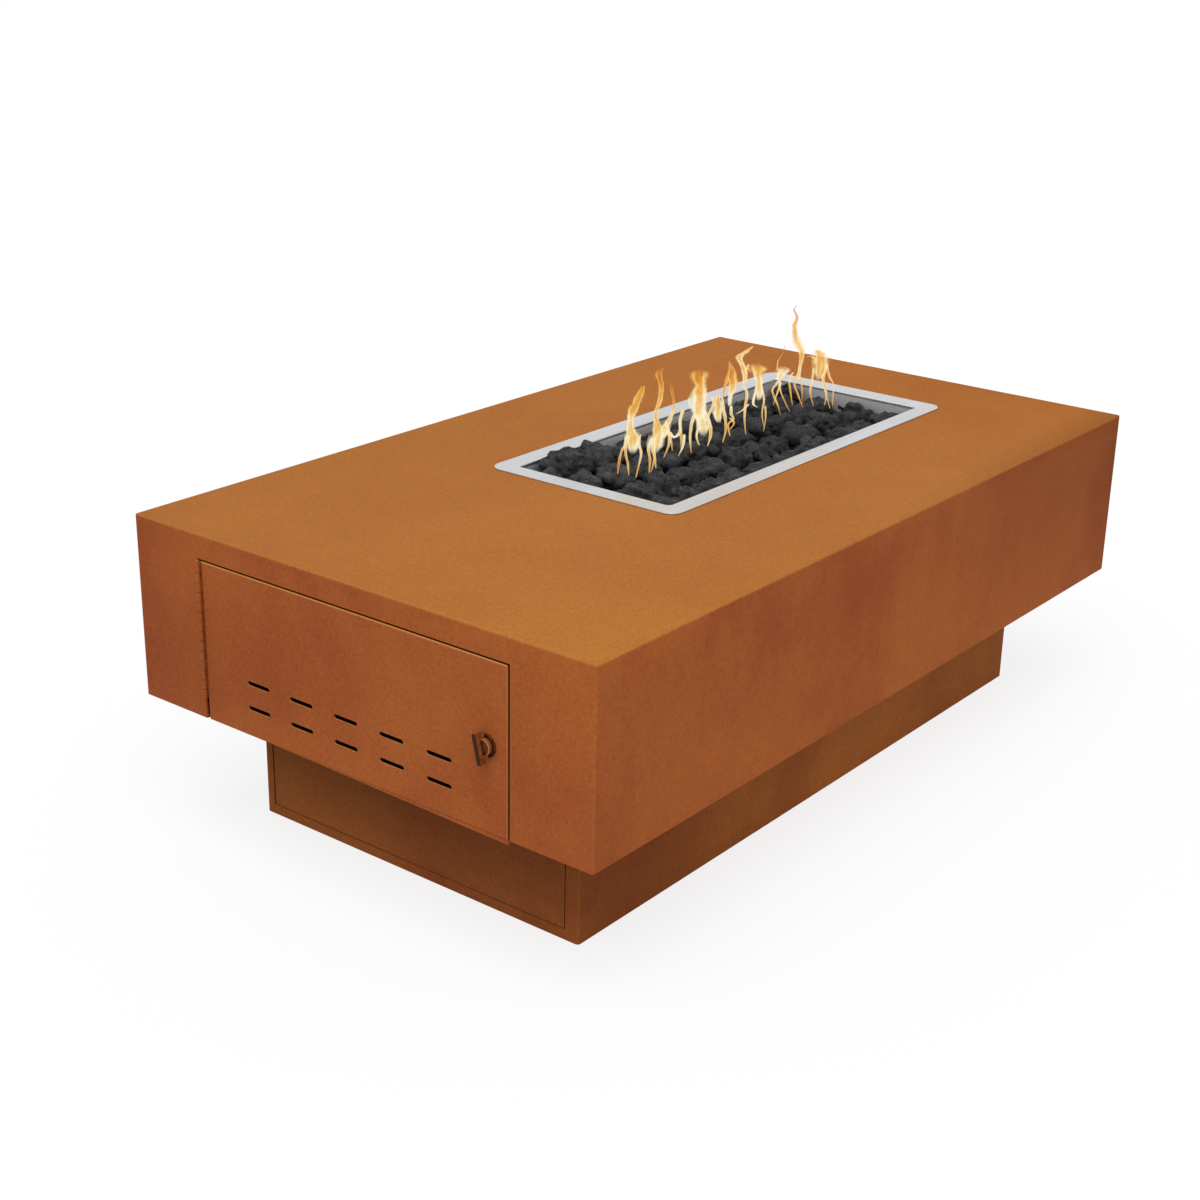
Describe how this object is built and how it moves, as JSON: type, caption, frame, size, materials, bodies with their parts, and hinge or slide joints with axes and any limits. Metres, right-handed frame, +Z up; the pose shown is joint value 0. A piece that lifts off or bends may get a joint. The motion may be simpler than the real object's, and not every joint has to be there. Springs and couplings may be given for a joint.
{
  "type": "gas fire pit table",
  "caption": "Long weathered-steel fire table on a recessed plinth, with an off-centre stainless pan of lava rock over a straight burner and a hinged service door in one end.",
  "frame": {"origin": "on the floor, at the middle of the plinth's footprint, which is the middle of the table", "axes": "+X along the table away from the service door, which faces -X; +Z up; the long side that the picture shows faces -Y"},
  "size_m": [1.2366, 0.7112, 0.423],
  "materials": {
    "weathered_steel": "weathered, matte, mottled orange-brown",
    "weathered_steel_dark": "weathered, matte, darker brown",
    "stainless": "fine brushed",
    "lava_rock": "rough, porous, charcoal",
    "dark_bronze": "dark bronze, satin",
    "brass": "plain",
    "zinc_steel": "zinc plated",
    "hose_coating": "plastic coated",
    "lever_grip": "dipped vinyl"
  },
  "bodies": {
    "table": {"body_shell": "weathered_steel", "underside_plate": "weathered_steel_dark", "cross_member_service": "weathered_steel_dark", "cross_member_far": "weathered_steel_dark", "base_shell": "weathered_steel_dark", "base_floor_plate": "weathered_steel_dark", "base_end_panel": "weathered_steel_dark", "end_panel_screws": "zinc_steel", "plinth_bolts": "zinc_steel", "plinth_nuts": "zinc_steel", "fire_pan": "stainless", "burner_tube": "stainless", "burner_end_caps": "stainless", "burner_inlet": "stainless", "burner_locknuts": "brass", "burner_saddles": "stainless", "lava_bed": "lava_rock", "lava_rocks": "lava_rock", "hinge_leaf_body": "weathered_steel", "hinge_pin": "weathered_steel", "door_stops": "weathered_steel_dark", "burner_coupling": "brass", "hose_fittings": "brass", "flex_hose": "hose_coating", "shutoff_valve_body": "brass", "valve_bracket": "zinc_steel", "valve_bracket_screws": "zinc_steel", "inlet_nipple": "zinc_steel", "riser_elbow": "zinc_steel", "gas_riser": "zinc_steel"},
    "door": {"door_panel": "weathered_steel", "hinge_leaf_door": "weathered_steel", "door_pull_lip": "weathered_steel", "latch_body": "dark_bronze", "latch_nut": "zinc_steel"},
    "latch": {"latch_knob": "dark_bronze", "latch_cam": "zinc_steel", "latch_cam_screw": "zinc_steel"},
    "valve_lever": {"valve_stem": "brass", "valve_handle": "lever_grip", "valve_handle_nut": "zinc_steel"}
  },
  "joints": [
    {"name": "door_hinge", "type": "hinge", "parent": "table", "child": "door", "pos_m": [-0.61295, 0.2408, 0.28475], "axis": [0, 0, -1], "range_deg": [0, 180]},
    {"name": "latch_turn", "type": "hinge", "parent": "door", "child": "latch", "pos_m": [-0.61, -0.209, 0.273], "axis": [-1, 0, 0], "range_deg": [-13.3, 76.7]},
    {"name": "valve_turn", "type": "hinge", "parent": "table", "child": "valve_lever", "pos_m": [-0.386, 0.008, 0.25], "axis": [0, 0, 1], "range_deg": [0, 90]}
  ]
}
